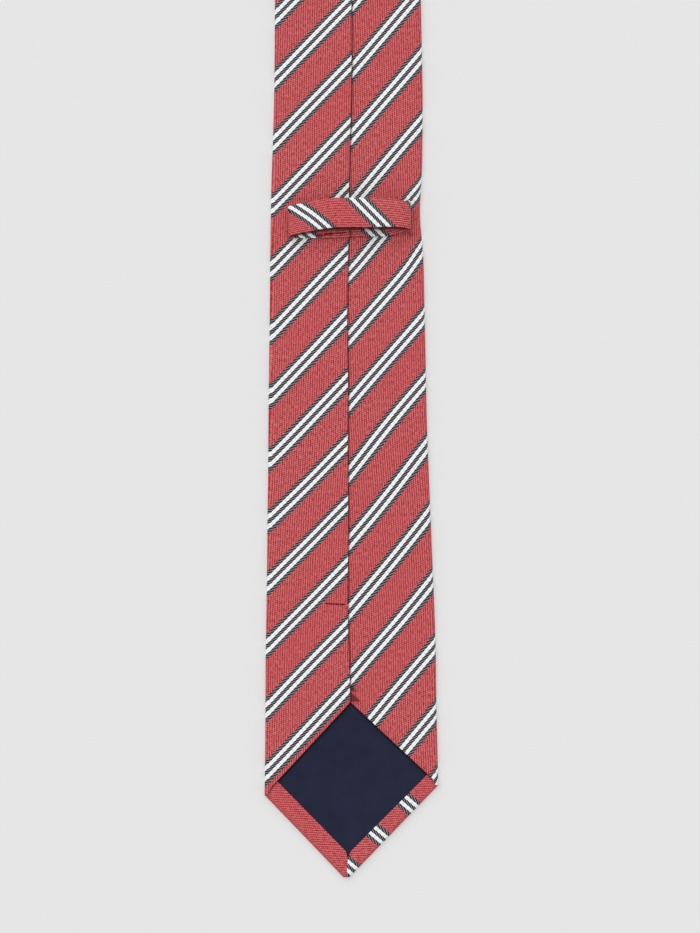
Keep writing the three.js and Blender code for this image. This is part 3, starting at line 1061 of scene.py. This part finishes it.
def thread_patch(path, radius, sides=9):
    """A thread along a path of points: circles of its radius square to the path, which shrink to
    a point at both ends and so close it."""
    ahead = unit(np.gradient(path, axis=0))
    level = unit(np.cross(ahead, (0, 0, 1.0)))
    up = np.cross(level, ahead)
    round_angle = np.linspace(0, 2 * math.pi, sides)[None, :, None]
    circle = level[:, None] * np.cos(round_angle) + up[:, None] * np.sin(round_angle)
    ring = path[:, None] + radius * circle
    ends = [np.repeat(path[end][None, None], sides, 1) for end in (0, -1)]
    ring = np.concatenate([ends[0], ring, ends[1]])
    long = run_of(path)
    long = np.concatenate([[0], long, long[-1:]])[:, None]
    return patch(*np.moveaxis(ring, -1, 0), radius * round_angle[..., 0], long)


def slip_path(start, end):
    """The slip stitch's path: it keeps inside the lap, and falls and rises once a stitch."""
    y = np.arange(start, end, 0.9 * mm)
    stitch = 2 * math.pi * (y - wide_tip) / slip_pitch
    x = seam(y) - slip_inside + 0.25 * mm * np.sin(stitch)
    return np.stack([x, y, 2.45 * mm + 0.3 * mm * np.cos(stitch)], 1)


slip_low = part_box("wide_slip_stitch")[0].y
slip_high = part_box("narrow_slip_stitch")[1].y
slip_starts = [slip_low, *meeting, slip_high]
for index, (name, nodes) in enumerate((
    ("wide_slip_thread", ["wide_slip_stitch", "neck_slip_stitch_wide_side"]),
    ("nape_slip_thread", ["neck_slip_stitch_narrow_side"]),
    ("narrow_slip_thread", ["narrow_slip_stitch"]),
)):
    slip_patch = thread_patch(slip_path(*slip_starts[index:index + 2]), slip_radius)
    slip_thread = sheet_mesh(name, [slip_patch], thread)
    dress(slip_thread, across=bend_of(index), replaces=nodes)

# ---------------------------------------------------------------------------------------------
# The bar tacks: a few passes of the same thread across the lap, which lock the seam's two ends.
# The passes lie close beside each other and go down into the cloth at both ends.
tack_strand = 0.17 * mm
tack_passes = ((-0.16, 0.14), (0.02, -0.12), (0.2, 0.04))  # where each starts and ends, in mm
for name, body in (("wide_bar_tack", "wide_blade"), ("narrow_bar_tack", "narrow_blade")):
    low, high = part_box(name)
    share = np.linspace(0, 1, 40)
    passes = []
    for index, (start_off, end_off) in enumerate(tack_passes):
        x = low.x + (high.x - low.x) * share
        off = 0.2 - 0.4 * share + start_off + (end_off - start_off) * share
        y = (low.y + high.y) / 2 + off * mm + 0.05 * mm * np.sin(share * 19 + index * 2)
        into = 0.45 * mm * (1 - smooth(np.minimum(share, 1 - share) / 0.06))
        z = flap_top(-1, x, y) + tack_strand * (0.7 + 0.5 * (index == 1)) - into
        passes.append(thread_patch(np.stack([x, y, z], 1), tack_strand))
    bar = sheet_mesh(name + "_thread", passes, thread)
    dress(bar, body=body, replaces=[name])

# ---------------------------------------------------------------------------------------------
# The keeper: a strip of the same silk, folded into a flat tube and laid in a ring. Its front
# stands up as a band, which leans towards the neck, and its two ends meet in a seam below.
strip_half = 6.35 * mm
strip_thickness_half = 0.55 * mm
ring_left = keeper_low.x + strip_thickness_half
ring_right = keeper_high.x - strip_thickness_half - 0.5 * mm
base_height = 4.5 * mm
band_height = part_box("keeper_band")[1].z - 0.9 * mm
left_turn = 1.0 * mm
right_turn = 3.4 * mm
ring_seam = 0.45 * mm
band_lean = 3.7 * mm
band_sag = 0.5 * mm
left_sag = 3.4 * mm
left_drop = 3.5 * mm
right_drop = 1.6 * mm
base_rise = 3.2 * mm
seam_bump = 0.4 * mm
strip_stretch_across = 0.95
strip_stretch_along = 1.07
band_group = 8.9 * mm  # where a stripe group crosses the band


def ring_path():
    """The ring's middle line seen from the wide end: left along the base, up round the left end,
    right along the band, down round the right end and left along the base again."""
    height_half = (band_height - base_height) / 2
    centre = (band_height + base_height) / 2
    angle = np.linspace(-math.pi / 2, math.pi / 2, 15)[1:-1]
    round_out, round_up = np.cos(angle), np.sin(angle)
    first = np.linspace(ring_seam - 0.1 * mm, ring_left + left_turn, 26)
    band = np.linspace(ring_left + left_turn, ring_right - right_turn, 50)
    last = np.linspace(ring_right - right_turn, ring_seam + 0.1 * mm, 26)
    x = np.concatenate([
        first, ring_left + left_turn * (1 - round_out), band,
        ring_right - right_turn * (1 - round_out[::-1]), last,
    ])
    z = np.concatenate([
        first * 0 + base_height, centre + height_half * round_up, band * 0 + band_height,
        centre + height_half * round_up[::-1], last * 0 + base_height,
    ])
    raised = (z - base_height) / (band_height - base_height)
    # The band sags towards its ends, most of all to the flat left end, and its ends drop
    # towards the base
    z = z - band_sag * raised * (x / ring_right) ** 2
    z = z - left_sag * raised * smooth((-4 * mm - x) / (22 * mm))
    at_left = np.clip((-5 * mm - x) / (21.5 * mm), 0, 1) ** 1.4
    at_right = np.clip((x - 12 * mm) / (15 * mm), 0, 1) ** 2.4
    y = keeper_y + raised * (band_lean - left_drop * at_left - right_drop * at_right)
    # The seam's turned ends make a small bump
    z = z + seam_bump * (1 - raised) * hill(x - ring_seam, 0.7 * mm)
    # The base lies a little nearer the wide end on the left, and at the right end it runs up
    # towards the neck, to meet the band
    y = y - 0.6 * mm * (1 - raised) * smooth((3 * mm - x) / (8 * mm))
    y = y + base_rise * (1 - raised) * np.clip((x - 16 * mm) / (10 * mm), 0, 1) ** 1.4
    return np.stack([x, y, z], 1), raised


def strip_patch(path, raised):
    """The flat tube along the ring: a superellipse with the strip's half width and half
    thickness, |w/a|^3 + |n/b|^3 = 1, square to the path. It thins out at the two ends."""
    ahead = unit(np.gradient(path, axis=0))
    wide = unit(np.array([[0, 1.0, 0]]) - 0.4 * ahead[:, 1:2] * ahead)
    outward = unit(np.cross(ahead, wide))
    angle = np.linspace(-math.pi / 2, 3 * math.pi / 2, 41)[None]
    w = strip_half * np.sign(np.cos(angle)) * np.abs(np.cos(angle)) ** (2 / 3)
    n = strip_thickness_half * np.sign(np.sin(angle)) * np.abs(np.sin(angle)) ** (2 / 3)
    w = np.where(np.abs(np.cos(angle)) < 1e-9, 0, w)
    long = run_of(path)
    to_end = np.minimum(long, long[-1] - long)
    thin = np.sqrt(np.clip(1 - (1 - np.clip(to_end / (0.6 * mm), 0, 1)) ** 2, 0, 1))[:, None]
    right_share = smooth((path[:, :1] - 10 * mm) / (16 * mm)) * raised[:, None]
    wide_share = 1 - 0.1 * right_share
    point = path[:, None] + wide[:, None] * (w * wide_share)[..., None]
    point = point + outward[:, None] * (n * thin)[..., None]
    # Flat-cut coordinates: round the tube for u, with its own seam inside, and along it for v
    under = 2 * strip_half * np.sign(np.cos(angle) + 1e-12) - w
    round_tube = np.where(np.sin(angle) >= 0, w, under)
    round_tube = np.where(angle > 3 * math.pi / 2 - 1e-6, -2 * strip_half, round_tube)
    round_tube = np.where(angle < -math.pi / 2 + 1e-6, 2 * strip_half, round_tube)
    at_left = smooth((-8 * mm - path[:, :1]) / (14 * mm))
    u = round_tube * (strip_stretch_across + 0.17 * at_left)
    middle_row = np.argmin(np.abs(path[:, 0] - band_group) + (1 - raised))
    v = strip_stretch_along * (long - long[middle_row]) + stripe_start / math.cos(stripe_slope)
    v = (v + np.where(path[:, 0] > 0, -2.4 * mm, 1.1 * mm) * (1 - raised))[:, None]
    # The base gets painted shade under the band, fading out a little past the band's near edge
    band_row = raised > 0.99
    near_edge = np.interp(path[:, 0], path[band_row, 0], point[band_row, :, 1].min(1))[:, None]
    cover = np.where(raised[:, None] < 0.2, near_edge - 0.3 * mm - point[..., 1], open_air)
    return patch(*np.moveaxis(point, -1, 0), u, v + wide_tip, cover)


keeper_path, keeper_raised = ring_path()
keeper_ring = sheet_mesh("keeper_loop", [strip_patch(keeper_path, keeper_raised)], silk)
keeper_length = float(run_of(keeper_path)[-1])
lift_start, lift_end = (0, keeper_y, base_height + 1 * mm), (0, keeper_y, band_height - 1 * mm)
dress(keeper_ring, {"flat": (2 * strip_half, keeper_length)},
      across=("keeper", "keeper_front", lift_start, lift_end),
      replaces=["keeper_base_left", "keeper_base_right", "keeper_band"])

# ---------------------------------------------------------------------------------------------
# The stitches that hold the ring's lower layer to the blade: a short row along its near edge,
# and a cross over the seam, hidden by the band.
stitch_radius = 0.26 * mm
stitch_top = base_height + strip_thickness_half
stitch_y = keeper_y - 5.2 * mm
# Each stitch's two ends, in millimetres across the tie and along it from stitch_y
stitch_ends = [
    ((-13.9, -0.8), (-11.4, -0.6)), ((-10.8, -0.3), (-6.6, 0)), ((-5.8, 0.2), (-1.5, 0.4)),
    ((-2.6, 3.2), (1.2, 6.4)), ((-2.6, 6.4), (1.2, 3.2)),
]
stitches = []
for (x_start, y_start), (x_end, y_end) in stitch_ends:
    share = np.linspace(0, 1, 24)
    x = (x_start + (x_end - x_start) * share) * mm
    y = stitch_y + (y_start + (y_end - y_start) * share) * mm
    into = 0.4 * mm * (1 - smooth(np.minimum(share, 1 - share) / 0.12))
    z = stitch_top + stitch_radius * 0.6 - into
    stitches.append(thread_patch(np.stack([x, y, z], 1), stitch_radius))
keeper_stitches = sheet_mesh("keeper_stitches", stitches, thread)
dress(keeper_stitches, body="keeper", replaces=["keeper_tack"])
